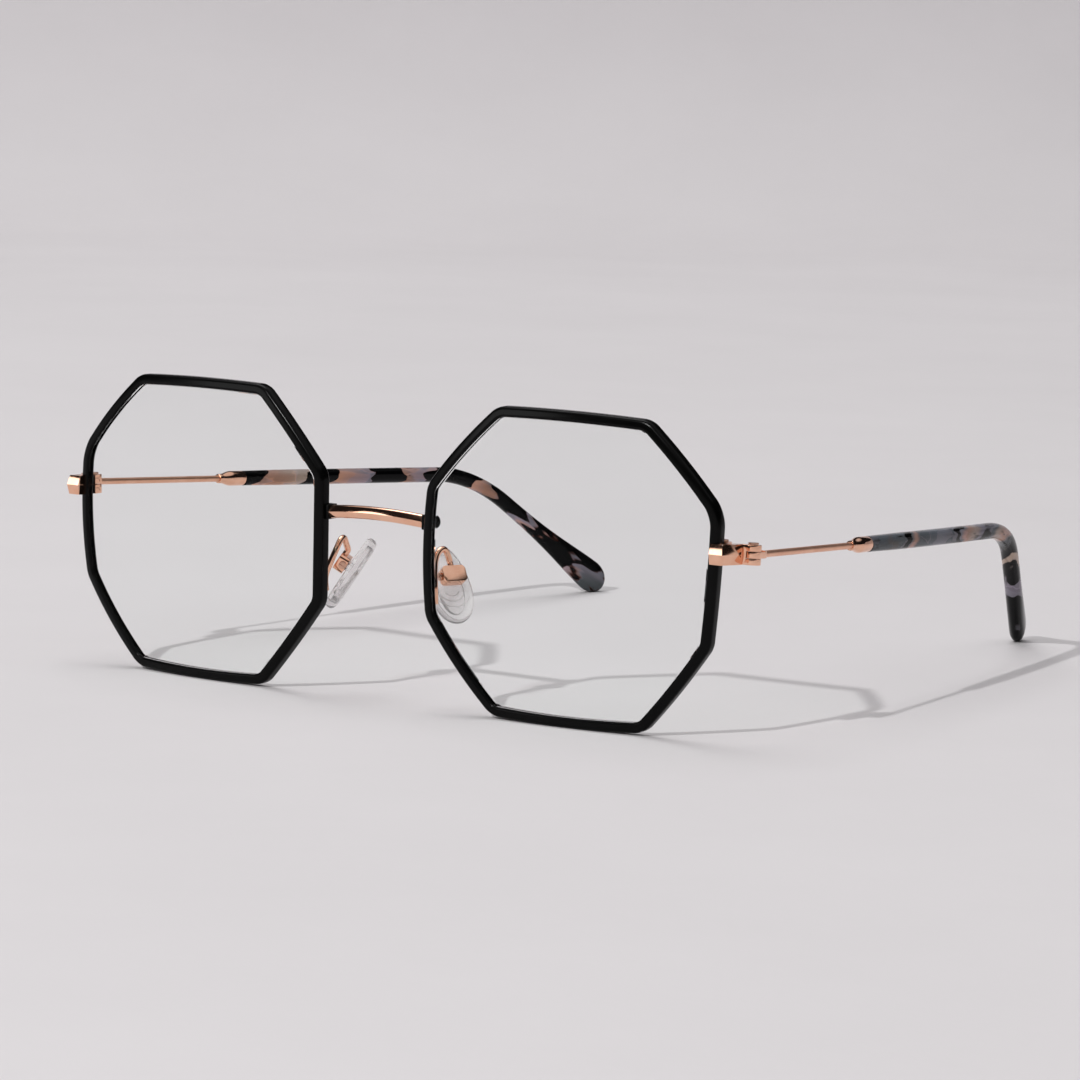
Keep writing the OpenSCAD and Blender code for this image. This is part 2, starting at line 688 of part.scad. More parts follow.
module pad_insert() {
    color("#e8eef0") at_pad() difference() {
        union() {
            insert_body(0);
            translate([axis_x, 0, pad_screw_up]) rotate([90, 0, 0])
                cylinder(r = boss_r, h = 2 * boss_half, center = true);
        }
        translate([axis_x, 0, pad_screw_up]) rotate([90, 0, 0])
            cylinder(r = pad_screw_r + pin_gap, h = 3 * boss_half, center = true);
    }
}

// Nose pad: soft clear plastic moulded over the insert
module nose_pad() {
    half = pad_t / 2;
    crown = [[-1, 0.42], [-0.86, 0.22], [-0.5, 0.07], [0, 0], [0.6, 0.03], [1, 0.16]];
    color([0.92, 0.96, 0.98, 0.5]) at_pad() difference() {
        sweep([for (c = crown)
            [for (p = pad_outline(c[1] * pad_w / 2, 24)) [c[0] * half, p.x, p.y]]]);
        insert_body(seat / 2);
    }
}

// Pad box: a small cup with the pad's boss and screw between its ends
box_room = 0.08;
box_open = 0.2;
box_round = 0.7;
box_front = axis_x + boss_r + box_room;
box_back = axis_x - boss_r + box_open;

module rounded_bar(width, height, r) {
    square([width - 2 * r, height], center = true);
    square([width, height - 2 * r], center = true);
    for (x = [-1, 1], y = [-1, 1]) translate([x * (width / 2 - r), y * (height / 2 - r)]) circle(r);
}

module pad_box() {
    color("#d9a48a") at_pad() translate([0, 0, pad_screw_up]) difference() {
        translate([box_back, 0, 0]) rotate([90, 0, 90])
            linear_extrude(height = box_front + box_wall - box_back) rounded_bar(box_len, box_h, box_round);
        rotate([90, 0, 90])
            linear_extrude(height = box_front) square([box_len - 2 * box_wall, box_h - 2 * box_wall], center = true);
        translate([axis_x, 0, 0]) rotate([90, 0, 0])
            cylinder(r = pad_screw_r + pin_gap, h = 2 * box_len, center = true);
    }
}

// Pad screw: holds the boss in the box, and is the pin that the pad rocks on
module pad_screw() {
    color("#c8a08c") at_pad() translate([axis_x, -box_len / 2 - seat, pad_screw_up]) rotate([90, 0, 0])
        slotted_screw(pad_screw_r, box_len, pad_head_r);
}

// Pad arm: wire soldered behind the eyewire, looped up and back down to the pad box
arm_r = arm_d / 2;
arm_solder = 0.1;
arm_seat = [0, arm_r + arm_solder, 0];
// Length of the foot below the middle of the pad, and above it
foot_down = 2.3;
foot_up = 0.2;
arm_foot = on_base(-eye_w / 2, -pad_drop - foot_down, rim_d) + arm_seat;
arm_leave = on_base(-eye_w / 2, -pad_drop + foot_up, rim_d) + arm_seat;
// The arm comes down on top of the box, a little before its middle
arm_aside = 0.2;
arm_fall = 0.8;
arm_end = [box_front + box_wall - arm_r, -arm_aside, pad_screw_up + box_h / 2 + seat];
arm_drop = pad_to_front(arm_end + [0, 0, arm_fall]);
// Shape of the loop: share of the way back, lean towards the nose, rise
arm_loop = [[0.18, 0.3, 1.4], [0.36, 0.75, 3.4], [0.6, 0.6, 3.6], [0.84, 0.25, 1.5]];
arm_route = concat(
    [arm_foot, arm_leave],
    [for (l = arm_loop) mix(arm_leave, arm_drop, l[0]) + [-l[1], 0, l[2]]],
    [arm_drop, pad_to_front(arm_end)]
);
arm_steps = 4;
arm_sides = 10;
// Point of a smooth curve from b to c, which has a and d as its neighbours
function curve(a, b, c, d, t) =
    0.5 * (2 * b + (c - a) * t + (2 * a - 5 * b + 4 * c - d) * t * t + (3 * b - a - 3 * c + d) * t * t * t);
function route_at(i) = arm_route[min(max(i, 0), len(arm_route) - 1)];
arm_line = concat([for (i = [0:len(arm_route) - 2]) for (k = [0:arm_steps - 1])
    curve(route_at(i - 1), route_at(i), route_at(i + 1), route_at(i + 2), k / arm_steps)], [route_at(len(arm_route))]);
arm_last = len(arm_line) - 1;
function arm_heading(i) = i == arm_last ? pad_to_front([0, 0, -1]) - pad_to_front([0, 0, 0])
    : unit(arm_line[i + 1] - arm_line[max(i - 1, 0)]);

module pad_arm() {
    color("#d9a48a") sweep([for (i = [0:arm_last])
        let (across = unit(cross(arm_heading(i), [1, 0, 0])), up = cross(across, arm_heading(i)))
        [for (k = [0:arm_sides - 1]) let (t = 360 * k / arm_sides)
            arm_line[i] + arm_r * (across * cos(t) + up * sin(t))]]);
}

stand() side(true) rim();  // rim_left
stand() side(false) rim();  // rim_right
stand() side(true) lens();  // lens_left
stand() side(false) lens();  // lens_right
stand() bridge();
stand() side(true) bridge_saddle();  // bridge_saddle_left
stand() side(false) bridge_saddle();  // bridge_saddle_right
stand() side(true) end_piece();  // end_piece_left
stand() side(false) end_piece();  // end_piece_right
stand() side(true) closing_block_upper();  // closing_block_upper_left
stand() side(false) closing_block_upper();  // closing_block_upper_right
stand() side(true) closing_block_lower();  // closing_block_lower_left
stand() side(false) closing_block_lower();  // closing_block_lower_right
stand() side(true) closing_screw();  // closing_screw_left
stand() side(false) closing_screw();  // closing_screw_right
stand() side(true) front_hinge();  // front_hinge_left
stand() side(false) front_hinge();  // front_hinge_right
stand() side(true) temple_hinge();  // temple_hinge_left
stand() side(false) temple_hinge();  // temple_hinge_right
stand() side(true) hinge_screw();  // hinge_screw_left
stand() side(false) hinge_screw();  // hinge_screw_right
stand() side(true) temple_wire();  // temple_wire_left
stand() side(false) temple_wire();  // temple_wire_right
stand() side(true) ferrule();  // ferrule_left
stand() side(false) ferrule();  // ferrule_right
stand() side(true) temple_tip();  // temple_tip_left
stand() side(false) temple_tip();  // temple_tip_right
stand() side(true) pad_arm();  // pad_arm_left
stand() side(false) pad_arm();  // pad_arm_right
stand() side(true) pad_box();  // pad_box_left
stand() side(false) pad_box();  // pad_box_right
stand() side(true) pad_screw();  // pad_screw_left
stand() side(false) pad_screw();  // pad_screw_right
stand() side(true) pad_insert();  // pad_insert_left
stand() side(false) pad_insert();  // pad_insert_right
stand() side(true) nose_pad();  // nose_pad_left
stand() side(false) nose_pad();  // nose_pad_right
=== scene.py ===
import math

import bmesh
import bpy
from mathutils import Matrix, Vector


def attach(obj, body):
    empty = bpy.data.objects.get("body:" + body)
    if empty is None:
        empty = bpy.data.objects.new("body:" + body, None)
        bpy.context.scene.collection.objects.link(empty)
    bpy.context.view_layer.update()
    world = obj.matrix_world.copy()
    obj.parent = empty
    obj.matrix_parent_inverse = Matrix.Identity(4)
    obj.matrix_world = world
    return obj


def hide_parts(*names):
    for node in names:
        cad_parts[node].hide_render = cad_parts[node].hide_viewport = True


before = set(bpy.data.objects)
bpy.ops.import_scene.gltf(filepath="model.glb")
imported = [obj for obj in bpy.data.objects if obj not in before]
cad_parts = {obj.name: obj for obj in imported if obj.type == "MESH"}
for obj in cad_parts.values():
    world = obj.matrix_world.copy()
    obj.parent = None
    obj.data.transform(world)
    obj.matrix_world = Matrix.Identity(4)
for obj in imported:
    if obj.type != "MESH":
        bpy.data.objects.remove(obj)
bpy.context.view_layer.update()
scene = bpy.context.scene
scene.view_settings.view_transform = "Standard"

# The front stands on the table with the lens rims and the temple tips down, and leans back a little.
# Pieces are shaped in millimetres on the front, and this matrix stands them on the table in metres.
stand = (Matrix.Translation((0, -0.072002, 0.0259293))
         @ Matrix.Rotation(math.radians(0.733912), 4, "X") @ Matrix.Scale(0.001, 4))

# Camera: stands a little above the glasses, on the side of the wearer's left temple.
# Its three directions are its right, its up and its back.
camera = bpy.data.objects.new("camera", bpy.data.cameras.new("camera"))
scene.collection.objects.link(camera)
camera_right = Vector((0.82989886, 0.55735196, 0.02503348))
camera_up = Vector((-0.09123347, 0.09130763, 0.9916347))
camera_back = camera_right.cross(camera_up)
camera.matrix_world = Matrix.LocRotScale(
    Vector((0.45072381, -0.69603714, 0.12656152)),
    Matrix((camera_right, camera_up, camera_back)).transposed(), None)
camera.data.sensor_width = 36
camera.data.lens = 156.157
camera.data.clip_start = 0.02
scene.camera = camera


def linear(code):
    """An sRGB hex colour as linear red, green, blue and alpha."""
    parts = [int(code[i:i + 2], 16) / 255 for i in (1, 3, 5)]
    return [p / 12.92 if p <= 0.04045 else ((p + 0.055) / 1.055) ** 2.4 for p in parts] + [1]


def add(tree, kind, settings=None, stops=(), **inputs):
    """Adds a node. A setting is an attribute, and an input is a value or the socket that feeds it.

    The stops of a colour ramp are pairs of a place and an sRGB hex colour.
    """
    node = tree.nodes.new("ShaderNode" + kind)
    if stops:
        marks = node.color_ramp.elements
        while len(marks) < len(stops):
            marks.new(1)
        for mark, (place, code) in zip(marks, stops):
            mark.position = place
            mark.color = linear(code)
    for name, value in (settings or {}).items():
        setattr(node, name, value)
    for name, value in inputs.items():
        socket = node.inputs[int(name[1:]) if name[1:].isdigit() else name.replace("_", " ")]
        if isinstance(value, bpy.types.NodeSocket):
            tree.links.new(value, socket)
        else:
            socket.default_value = value
    return node


def new_material(name):
    """An empty material, its node tree and its output node."""
    material = bpy.data.materials.new(name)
    material.use_nodes = True
    material.node_tree.nodes.clear()
    return material, material.node_tree, add(material.node_tree, "OutputMaterial")


def pull(bm, edges, matrix):
    """Pulls a row of edges out, moves the new row by a matrix and returns it."""
    made = bmesh.ops.extrude_edge_only(bm, edges=edges)["geom"]
    ends = {g for g in made if isinstance(g, bmesh.types.BMVert)}
    bmesh.ops.transform(bm, matrix=matrix, verts=list(ends))
    return [g for g in made if isinstance(g, bmesh.types.BMEdge) and ends.issuperset(g.verts)]


# Table and backdrop: one sheet of pale grey plaster board, flat under the glasses and curved up behind them.
# It is matt, with faint trowel marks, and a painted shade makes it a little greyer where it rises.
sheet_near, sheet_far, sheet_half = -6, 1.1, 5
sweep_radius, sweep_steps, sheet_height = 0.3, 24, 0.2
view_side = math.atan2(camera_back.x, -camera_back.y)
bm = bmesh.new()
edge = bm.edges.new([bm.verts.new((x, sheet_near, 0)) for x in (-sheet_half, sheet_half)])
row = pull(bm, [edge], Matrix.Translation((0, sheet_far - sheet_near, 0)))
bend = bmesh.ops.spin(bm, geom=row, cent=(0, sheet_far, sweep_radius), axis=(1, 0, 0),
                      angle=math.pi / 2, steps=sweep_steps, use_merge=False)["geom_last"]
row = [g for g in bend if isinstance(g, bmesh.types.BMEdge)]
pull(bm, row, Matrix.Translation((0, 0, sheet_height)))
bmesh.ops.rotate(bm, cent=(0, 0, 0), matrix=Matrix.Rotation(view_side, 3, "Z"), verts=bm.verts)
bmesh.ops.recalc_face_normals(bm, faces=bm.faces)
mesh = bpy.data.meshes.new("table")
bm.to_mesh(mesh)
bm.free()
mesh.shade_smooth()
table = bpy.data.objects.new("table", mesh)
scene.collection.objects.link(table)

# Painted plaster board: matt pale grey with soft clouds a hand wide, and trowel marks of a few millimetres.
plaster, tree, output = new_material("plaster_board")
place = add(tree, "TexCoord").outputs["Object"]
clouds = add(tree, "TexNoise", Vector=place, Scale=9, Detail=5, Roughness=0.6)
marks = add(tree, "TexNoise", Vector=place, Scale=160, Detail=6, Roughness=0.7)
bump = add(tree, "Bump", Height=marks.outputs["Fac"], Strength=0.12, Distance=0.0006)
paint = add(tree, "ValToRGB", stops=[(0.3, "#d5d2d3"), (0.75, "#d9d6d7")], Fac=clouds.outputs["Fac"])
# Painted shade: the sheet turns a little greyer over its first 12 cm of rise, standing in for the lower light
# on the wall.
height = add(tree, "SeparateXYZ", Vector=place).outputs["Z"]
painted_wall_shade = add(tree, "ValToRGB", stops=[(0, "#ffffff"), (0.12, "#f0eff0")], Fac=height)
board = add(tree, "Mix", {"data_type": "RGBA", "blend_type": "MULTIPLY"}, _0=1, _6=paint.outputs["Color"],
            _7=painted_wall_shade.outputs["Color"])
body = add(tree, "BsdfPrincipled", Roughness=0.9, Specular_IOR_Level=0.2, Base_Color=board.outputs[2],
           Normal=bump.outputs["Normal"])
tree.links.new(body.outputs["BSDF"], output.inputs["Surface"])
mesh.materials.append(plaster)


def lamp(name, place, target, size, power):
    """A round soft lamp at place that points at target. It lights and is mirrored, but isn't seen itself."""
    light = bpy.data.lights.new(name, "AREA")
    light.shape = "DISK"
    light.size = size
    light.energy = power
    thing = bpy.data.objects.new(name, light)
    thing.location = place
    thing.visible_camera = thing.visible_transmission = False
    thing.rotation_mode = "QUATERNION"
    thing.rotation_quaternion = (Vector(target) - Vector(place)).to_track_quat("-Z", "Y")
    scene.collection.objects.link(thing)


# Lights: a small lamp before the glasses at 37 degrees, which throws the shadows back, a wide one overhead
# and a low window at the front left. The room is pale low down and on the ceiling, with dark walls between,
# which the polished faces mirror.
middle = (0, 0, 0.02)
lamp("key_light", (-0.07, -2.56, 1.95), middle, 0.08, 52)
lamp("top_light", (-0.75, 0.3, 2.3), middle, 1.5, 19)
lamp("window_light", (-0.76, -1.04, 0.34), middle, 0.5, 1.6)
world = bpy.data.worlds.new("room")
scene.world = world
world.use_nodes = True
tree = world.node_tree
upward = add(tree, "SeparateXYZ", Vector=add(tree, "TexCoord").outputs["Generated"]).outputs["Z"]
room = add(tree, "ValToRGB", stops=[(0, "#d4d1d2"), (0.11, "#d4d1d2"), (0.13, "#181718"), (0.6, "#1c1b1c"),
                                    (0.74, "#d6d4d6"), (1, "#dcdadc")], Fac=upward)
tree.links.new(room.outputs["Color"], tree.nodes["Background"].inputs["Color"])
tree.nodes["Background"].inputs["Strength"].default_value = 1


def finished(bm, name, material, slot, body, *nodes, sharp=34):
    """Stands a shape, in millimetres on the front, in the scene as the piece for these CAD nodes."""
    if name.endswith("_right"):
        bmesh.ops.scale(bm, vec=(-1, 1, 1), verts=bm.verts)
    bmesh.ops.transform(bm, matrix=stand, verts=bm.verts)
    bmesh.ops.recalc_face_normals(bm, faces=bm.faces)
    mesh = bpy.data.meshes.new(name)
    bm.to_mesh(mesh)
    bm.free()
    mesh.shade_smooth()
    mesh.set_sharp_from_angle(angle=math.radians(sharp))
    mesh.materials.append(material)
    piece = bpy.data.objects.new(name, mesh)
    scene.collection.objects.link(piece)
    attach(piece, body)
    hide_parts(*nodes)


# Eyewires: octagons bent from flat-sided steel wire with a lens groove in the inner side, and curved to the
# lenses. They are sawn through at the end pieces and coated satin black.
base_r, wrap, eye_x = 116.5, math.radians(4), 38.2
rim_w, rim_d, rim_edge = 1.75, 2.15, 0.5
groove_depth, groove_half = 0.55, 0.43
saw_z, saw_cut, saw_near, saw_reach = 4.9, 0.12, 20, 9
corners = [(26.6, 11.2), (13.7, 24.45), (-13.9, 24.8), (-26.6, 11.4),
           (-26.6, -10), (-14.16, -24.8), (13.64, -24.8), (25.2, -10.4)]
corner_radii = [6] + 7 * [3]
corner_steps, side_cuts, shortest_side, side_bow = 10, 9, 4, 0.3
wall_slope = 0.3
hair = 1e-4


def octagon(grow):
    """The outline of an eyewire as one flat face, grown outwards, with rounded corners and bowed sides."""
    bm = bmesh.new()
    at = [Vector((u, 0, v)) for u, v in corners]
    rounds, peaks = [], []
    for i, here in enumerate(at):
        before = (here - at[i - 1]).normalized()
        after = (at[(i + 1) % 8] - here).normalized()
        half = before.angle(after) / 2
        peaks.append(here + (before - after).normalized() * grow / math.cos(half))
        rounds.append((corner_radii[i] + grow) * math.tan(half))
    tips = [bm.verts.new(peak) for peak in peaks]
    bm.faces.new(tips)
    for tip, offset in zip(tips, rounds):
        bmesh.ops.bevel(bm, geom=[tip], offset=offset, offset_type="OFFSET", segments=corner_steps,
                        profile=0.5, affect="VERTICES", material=-1)
    sides = [e for e in bm.edges if e.calc_length() > shortest_side]
    bmesh.ops.subdivide_edges(bm, edges=sides, cuts=side_cuts)
    for i, here in enumerate(peaks):
        side = peaks[(i + 1) % 8] - here
        way = side.normalized()
        start = here + way * rounds[i]
        length = side.length - rounds[i] - rounds[(i + 1) % 8]
        outward = Vector((way.z, 0, -way.x))
        for v in bm.verts:
            share = (v.co - start).dot(way) / length
            if 0.001 < share < 0.999 and abs((v.co - start).dot(outward)) < 0.001:
                v.co += outward * 4 * side_bow * share * (1 - share)
    return bm


def on_base(u, q, v):
    """A point of the flat outline laid on the base sphere of the lenses and wrapped back to its side."""
    sag = base_r - math.sqrt(base_r * base_r - u * u - v * v) + q
    across, back = u * math.cos(wrap) - sag * math.sin(wrap), u * math.sin(wrap) + sag * math.cos(wrap)
    return Vector((eye_x + across, back, v))


def thicken(bm, depth):
    """Makes a flat outline a plate that reaches this far back."""
    pulled = bmesh.ops.extrude_face_region(bm, geom=bm.faces[:], use_keep_orig=True)["geom"]
    back = [g for g in pulled if isinstance(g, bmesh.types.BMVert)]
    bmesh.ops.translate(bm, vec=(0, depth, 0), verts=back)
    bmesh.ops.recalc_face_normals(bm, faces=bm.faces)


# Satin black physical coating over steel: nearly no colour, soft narrow highlights and a very fine grain.
black_coat, tree, output = new_material("satin_black_coated_steel")
place = add(tree, "TexCoord").outputs["Object"]
grain = add(tree, "TexNoise", Vector=place, Scale=2600, Detail=3, Roughness=0.6)
patches = add(tree, "TexNoise", Vector=place, Scale=120, Detail=4, Roughness=0.55)
dull = add(tree, "MapRange", Value=patches.outputs["Fac"], To_Min=0.16, To_Max=0.26)
bump = add(tree, "Bump", Height=grain.outputs["Fac"], Strength=0.05, Distance=0.00002)
tone = add(tree, "ValToRGB", stops=[(0.3, "#030303"), (0.7, "#070707")], Fac=patches.outputs["Fac"])
body = add(tree, "BsdfPrincipled", Roughness=dull.outputs["Result"], Normal=bump.outputs["Normal"],
           Specular_IOR_Level=0.09, Base_Color=tone.outputs["Color"])
tree.links.new(body.outputs["BSDF"], output.inputs["Surface"])

for side in ("left", "right"):
    bm = octagon(rim_w / 2)
    plan = bmesh.ops.inset_region(bm, faces=bm.faces[:], thickness=rim_w, use_even_offset=True,
                                  use_boundary=True)["faces"]
    bmesh.ops.delete(bm, geom=[f for f in bm.faces if f not in plan], context="FACES_ONLY")
    thicken(bm, rim_d)
    long_edges = [e for e in bm.edges if e.calc_face_angle(0) > 1]
    bmesh.ops.bevel(bm, geom=long_edges, offset=rim_edge, offset_type="OFFSET", segments=5,
                    profile=0.5, affect="EDGES", material=-1)
    groove = [f for f in bm.faces if abs(f.normal.y) < wall_slope and f.normal.dot(f.calc_center_median()) < 0
              and abs(f.calc_center_median().y - rim_d / 2) < 0.1]
    bmesh.ops.inset_region(bm, faces=groove, thickness=rim_d / 2 - groove_half - rim_edge,
                           use_even_offset=True)
    bmesh.ops.inset_region(bm, faces=groove, thickness=hair, depth=-groove_depth, use_even_offset=True)
    for height in (saw_z - saw_cut / 2, saw_z + saw_cut / 2):
        near = [f for f in bm.faces
                if f.calc_center_median().x > saw_near and abs(f.calc_center_median().z) < saw_reach]
        parts = set(near) | {e for f in near for e in f.edges} | {v for f in near for v in f.verts}
        bmesh.ops.bisect_plane(bm, geom=list(parts), plane_co=(0, 0, height), plane_no=(0, 0, 1), dist=1e-5)
    slit = [f for f in bm.faces if f.calc_center_median().x > saw_near
            and abs(f.calc_center_median().z - saw_z) < saw_cut / 2]
    bmesh.ops.delete(bm, geom=slit, context="FACES")
    bmesh.ops.holes_fill(bm, edges=[e for e in bm.edges if e.is_boundary], sides=0)
    for v in bm.verts:
        v.co = on_base(*v.co)
    finished(bm, "eyewire_" + side, black_coat, "black_coated_metal", "front", "rim_" + side)

# Lenses: clear demo lenses, ground to one base curve on both faces, with a tongue round the edge for the
# groove. They are polished plastic, so all that shows is a faint reflection and the edge.
lens_t, tongue_t, lens_gap = 1.6, 0.7, 0.08
grid_step, grid_rows = 2.4, 11


def see_through(tree, output, shell, tint):
    """Lets light for shadows and for other surfaces go straight through a clear shell with a tint."""
    path = add(tree, "LightPath")
    straight = add(tree, "Math", {"operation": "MAXIMUM"}, _0=path.outputs["Is Shadow Ray"],
                   _1=path.outputs["Is Diffuse Ray"])
    clear = add(tree, "BsdfTransparent", Color=linear(tint))
    both = add(tree, "MixShader", _0=straight.outputs[0], _1=shell.outputs["BSDF"], _2=clear.outputs["BSDF"])
    tree.links.new(both.outputs["Shader"], output.inputs["Surface"])


# Polished CR-39 plastic: water-clear, with the slightest change of tint across the lens. It is coated against
# reflections, so its IOR is set down from 1.5 until as little is mirrored as on the real lens.
clear_lens, tree, output = new_material("polished_clear_lens_plastic")
place = add(tree, "TexCoord").outputs["Object"]
swirl = add(tree, "TexNoise", Vector=place, Scale=14, Detail=2)
tone = add(tree, "ValToRGB", stops=[(0, "#fafcfb"), (1, "#fdfefe")], Fac=swirl.outputs["Fac"])
body = add(tree, "BsdfPrincipled", Roughness=0, IOR=1.06, Transmission_Weight=1,
           Base_Color=tone.outputs["Color"])
see_through(tree, output, body, "#fafcfb")

for side in ("left", "right"):
    bm = octagon(-rim_w / 2 - lens_gap)
    for step in range(-grid_rows, grid_rows + 1):
        for turn in ((1, 0, 0), (0, 0, 1)):
            spot = Vector(turn) * step * grid_step
            bmesh.ops.bisect_plane(bm, geom=bm.verts[:] + bm.edges[:] + bm.faces[:], plane_co=spot,
                                   plane_no=turn, dist=hair)
    thicken(bm, lens_t)
    tongue = [f for f in bm.faces if abs(f.normal.y) < wall_slope]
    bmesh.ops.inset_region(bm, faces=tongue, thickness=(lens_t - tongue_t) / 2, use_even_offset=True)
    bmesh.ops.inset_region(bm, faces=tongue, thickness=hair, depth=groove_depth - lens_gap,
                           use_even_offset=True)
    bmesh.ops.translate(bm, vec=(0, rim_d / 2 - lens_t / 2, 0), verts=bm.verts)
    for v in bm.verts:
        v.co = on_base(*v.co)
    finished(bm, "clear_lens_" + side, clear_lens, "lens", "front", "lens_" + side)

# Bridge: a bar of rose gold plated steel, rolled to a section with a ridge along the front, and bent to an
# arc. It bows forward and up, and its ends are soldered to the black saddles.
bridge_z, bridge_h, bridge_d, bridge_arch, bridge_bow = 5.3, 2.2, 1.6, 0.6, 0.8
bridge_y, bridge_r, bridge_chamfer, bridge_round, bridge_steps = 3.05636, 46.0758, 0.3, 0.09, 48
bridge_half, bridge_tilt = math.radians(13.9589), math.atan2(bridge_arch, bridge_bow)
saddle_side, saddle_reach = -26.862, 1.635
bridge_end = on_base(saddle_side, 0, bridge_z) - saddle_reach * Vector((math.cos(wrap), math.sin(wrap), 0))


def plated(name, smoothest, dullest):
    """Rose gold plating on steel: a warm pink metal with soft wipe marks about two millimetres wide."""
    material, tree, output = new_material(name)
    place = add(tree, "TexCoord").outputs["Object"]
    polish = add(tree, "TexNoise", Vector=place, Scale=1400, Detail=3, Roughness=0.6)
    wipe = add(tree, "TexNoise", Vector=place, Scale=420, Detail=2)
    dull = add(tree, "MapRange", Value=polish.outputs["Fac"], To_Min=smoothest, To_Max=dullest)
    bump = add(tree, "Bump", Height=wipe.outputs["Fac"], Strength=0.1, Distance=0.00003)
    tone = add(tree, "ValToRGB", stops=[(0.3, "#eeb799"), (0.7, "#f6c5a9")], Fac=wipe.outputs["Fac"])
    body = add(tree, "BsdfPrincipled", Roughness=dull.outputs["Result"], Metallic=1,
               Base_Color=tone.outputs["Color"], Normal=bump.outputs["Normal"])
    tree.links.new(body.outputs["BSDF"], output.inputs["Surface"])
    return material


# Polished before plating, so the faces of the blocks mirror the room sharply.
rose_gold = plated("polished_rose_gold_plated_steel", 0.05, 0.12)

bm = bmesh.new()
section = [(bridge_d / 2, 0), (bridge_d / 4, bridge_h / 2 - bridge_chamfer / 2),
           (bridge_d / 4 - bridge_chamfer, bridge_h / 2), (bridge_chamfer - bridge_d / 2, bridge_h / 2),
           (-bridge_d / 2, bridge_h / 2 - bridge_chamfer)]
section += [(a, -b) for a, b in reversed(section[1:])]
bridge_top = Vector((0, bridge_y - bridge_bow, bridge_z + bridge_arch))
bm.faces.new([bm.verts.new(bridge_top + Vector((0, -a, b))) for a, b in section])
bmesh.ops.bevel(bm, geom=bm.verts[:], offset=bridge_round, offset_type="OFFSET", segments=3, profile=0.5,
                affect="VERTICES", material=-1)
bmesh.ops.delete(bm, geom=bm.faces[:], context="FACES_ONLY")
bend_axis = Vector((0, math.sin(bridge_tilt), math.cos(bridge_tilt)))
bend_middle = bridge_top + bridge_r * Vector((0, math.cos(bridge_tilt), -math.sin(bridge_tilt)))
bmesh.ops.rotate(bm, cent=bend_middle, matrix=Matrix.Rotation(-bridge_half, 3, bend_axis), verts=bm.verts)
bmesh.ops.spin(bm, geom=bm.verts[:] + bm.edges[:], cent=bend_middle, axis=bend_axis,
               angle=2 * bridge_half, steps=bridge_steps, use_merge=False)
for turn in (1, -1):
    bmesh.ops.bisect_plane(bm, geom=bm.verts[:] + bm.edges[:] + bm.faces[:], clear_outer=True, dist=1e-5,
                           plane_co=(turn * bridge_end.x, bridge_end.y, bridge_end.z),
                           plane_no=(turn * math.cos(wrap), math.sin(wrap), 0))
bmesh.ops.holes_fill(bm, edges=[e for e in bm.edges if e.is_boundary], sides=0)
finished(bm, "ridged_bridge_bar", rose_gold, "rose_gold", "front", "bridge", sharp=20)


def tumbled(node, radius, crisp=28):
    """The shape of a machined CAD node as its left one, in millimetres, with its flats joined.

    Edges crisper than this many degrees are tumbled to a radius.
    """
    weld, flat = 2e-3, math.radians(2)
    bm = bmesh.new()
    bm.from_mesh(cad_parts[node].data)
    bmesh.ops.transform(bm, matrix=stand.inverted(), verts=bm.verts)
    if node.endswith("_right"):
        bmesh.ops.scale(bm, vec=(-1, 1, 1), verts=bm.verts)
    bmesh.ops.remove_doubles(bm, verts=bm.verts, dist=weld)
    bmesh.ops.recalc_face_normals(bm, faces=bm.faces)
    bmesh.ops.dissolve_limit(bm, angle_limit=flat, verts=bm.verts, edges=bm.edges)
    edges = [e for e in bm.edges if e.calc_face_angle(0) > math.radians(crisp)]
    bmesh.ops.bevel(bm, geom=edges, offset=radius, offset_type="OFFSET", segments=3, profile=0.5,
                    affect="EDGES", clamp_overlap=True, material=-1)
    return bm


# Saddles: small milled steel blocks soldered to the nose sides of the eyewires and coated black with them.
# They carry the bridge, and are rounded behind it.
for side in ("left", "right"):
    finished(tumbled("bridge_saddle_" + side, 0.16), "bridge_saddle_block_" + side, black_coat,
             "black_coated_metal", "front", "bridge_saddle_" + side)

# Closing blocks: pairs of milled steel blocks, plated rose gold and soldered beside and behind the sawn
# eyewires. A screw pulls the two halves together, and the eyewire closes round its lens.
for side in ("left", "right"):
    for half in ("upper", "lower"):
        node = "closing_block_" + half + "_" + side
        finished(tumbled(node, 0.12), "milled_" + node, rose_gold, "rose_gold", "front", node)

# End pieces and hinges: rose gold plated blocks milled with a ridge along the outside, and three round
# knuckles. The outer knuckles are soldered behind the end piece, and the middle one carries the temple.
for side in ("left", "right"):
    finished(tumbled("end_piece_" + side, 0.2, 15), "ridged_end_piece_" + side, rose_gold, "rose_gold",
             "front", "end_piece_" + side, sharp=16)
    finished(tumbled("front_hinge_" + side, 0.1), "outer_knuckles_" + side, rose_gold, "rose_gold", "front",
             "front_hinge_" + side)
    finished(tumbled("temple_hinge_" + side, 0.1), "middle_knuckle_" + side, rose_gold, "rose_gold",
             "temple_" + side, "temple_hinge_" + side)

# Screws: slotted cheese heads turned from steel and plated to match the frame. One closes each eyewire, one
# is the pin of each hinge, and one holds each nose pad. Turning leaves them duller than the blocks.
screw_steel, tree, output = new_material("turned_plated_screw_steel")
place = add(tree, "TexCoord").outputs["Object"]
turned = add(tree, "TexNoise", Vector=place, Scale=2400, Detail=2)
tone = add(tree, "ValToRGB", stops=[(0.3, "#c79c86"), (0.7, "#dab09a")], Fac=turned.outputs["Fac"])
body = add(tree, "BsdfPrincipled", Roughness=0.22, Metallic=1, Base_Color=tone.outputs["Color"])
tree.links.new(body.outputs["BSDF"], output.inputs["Surface"])
for side in ("left", "right"):
    for kind in ("closing", "hinge", "pad"):
        node = kind + "_screw_" + side
        finished(tumbled(node, 0.05), "slotted_" + node, screw_steel, "screw_metal", "front", node)

